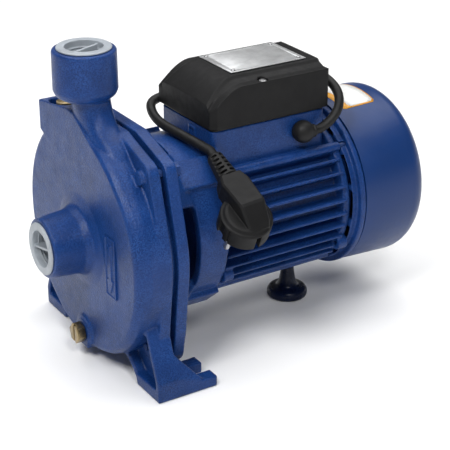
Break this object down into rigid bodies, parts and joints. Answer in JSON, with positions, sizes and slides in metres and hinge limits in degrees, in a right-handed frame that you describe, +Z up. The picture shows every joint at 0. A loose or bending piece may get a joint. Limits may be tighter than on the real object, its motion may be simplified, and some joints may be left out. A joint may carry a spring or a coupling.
{
  "type": "centrifugal water pump",
  "caption": "Close-coupled centrifugal water pump: cast volute on two feet, lantern bracket, finned electric motor with fan cover, terminal box, cord and plug.",
  "frame": {"origin": "centre of the pump's footprint, on the surface it stands on", "axes": "+X along the shaft from the suction port to the fan, +Z up through the discharge port, +Y away from the cable gland's side"},
  "size_m": [0.2924, 0.1912, 0.2336],
  "materials": {
    "blue_enamel": "glossy enamel over cast iron",
    "black_plastic": "fine moulded matte",
    "rubber": "satin",
    "brass": "machined",
    "grey_plastic": "moulded satin",
    "zinc": "zinc plated",
    "steel": "ground",
    "core_steel": "stacked laminations",
    "copper": null,
    "ceramic": "lapped ceramic",
    "carbon": "lapped carbon",
    "fan_plastic": "moulded",
    "aluminium_plate": "brushed",
    "white_plastic": "moulded",
    "dark_blue_plastic": "moulded gloss"
  },
  "bodies": {
    "pump": {"cable_gland": "rubber", "capacitor": "white_plastic", "casing_bolt_1": "blue_enamel", "casing_bolt_2": "blue_enamel", "casing_bolt_3": "blue_enamel", "casing_bolt_4": "blue_enamel", "casing_o_ring": "rubber", "fan_cover": "blue_enamel", "fan_cover_screw_1": "zinc", "fan_cover_screw_2": "zinc", "fan_cover_screw_3": "zinc", "front_bearing_outer": "steel", "front_winding": "copper", "lantern_bracket": "blue_enamel", "motor_frame": "blue_enamel", "nameplate": "aluminium_plate", "nameplate_rivet_1": "zinc", "nameplate_rivet_2": "zinc", "nameplate_rivet_3": "zinc", "nameplate_rivet_4": "zinc", "plug_body": "black_plastic", "plug_pin_1": "zinc", "plug_pin_2": "zinc", "plug_strain_relief": "rubber", "power_cord": "rubber", "pump_casing": "blue_enamel", "rear_bearing_outer": "steel", "rear_shield": "blue_enamel", "rear_winding": "copper", "seal_seat": "ceramic", "stator_core": "core_steel", "support_foot": "dark_blue_plastic", "support_foot_screw": "zinc", "terminal_block": "white_plastic", "terminal_cover": "black_plastic", "terminal_cover_screw_far": "zinc", "terminal_cover_screw_near": "zinc", "terminal_gasket": "rubber", "tie_bolt_1": "zinc", "tie_bolt_2": "zinc", "tie_bolt_3": "zinc", "tie_bolt_4": "zinc", "wave_washer": "steel"},
    "rotor": {"shaft": "steel", "rotor_core": "core_steel", "impeller": "brass", "impeller_key": "steel", "impeller_nut": "brass", "seal_head": "carbon", "seal_spring": "steel", "slinger_ring": "rubber", "front_bearing_inner": "steel", "rear_bearing_inner": "steel", "fan": "fan_plastic"},
    "front_balls": {"front_ball_set": "steel"},
    "rear_balls": {"rear_ball_set": "steel"},
    "suction_plug": {"suction_thread_plug": "grey_plastic"},
    "discharge_plug": {"discharge_thread_plug": "grey_plastic"},
    "filler_plug": {"priming_plug": "brass"},
    "drain": {"drain_plug": "brass"}
  },
  "joints": [
    {"name": "rotor_spin", "type": "hinge", "parent": "pump", "child": "rotor", "pos_m": [0, 0, 0.0935], "axis": [1, 0, 0], "continuous": true},
    {"name": "front_balls_spin", "type": "hinge", "parent": "pump", "child": "front_balls", "pos_m": [-0.0339, 0, 0.0935], "axis": [1, 0, 0], "continuous": true},
    {"name": "rear_balls_spin", "type": "hinge", "parent": "pump", "child": "rear_balls", "pos_m": [0.0853, 0, 0.0935], "axis": [1, 0, 0], "continuous": true},
    {"name": "suction_plug_slide", "type": "slide", "parent": "pump", "child": "suction_plug", "axis": [-1, 0, 0], "range_m": [0, 0.02]},
    {"name": "discharge_plug_slide", "type": "slide", "parent": "pump", "child": "discharge_plug", "axis": [0, 0, 1], "range_m": [0, 0.02]},
    {"name": "priming_plug_slide", "type": "slide", "parent": "pump", "child": "filler_plug", "axis": [0, 0, 1], "range_m": [0, 0.028]},
    {"name": "drain_plug_slide", "type": "slide", "parent": "pump", "child": "drain", "axis": [-1, 0, 0], "range_m": [0, 0.016]}
  ],
  "couplings": [
    {"joint": "front_balls_spin", "follows": "rotor_spin", "ratio": 0.382},
    {"joint": "rear_balls_spin", "follows": "rotor_spin", "ratio": 0.382}
  ]
}
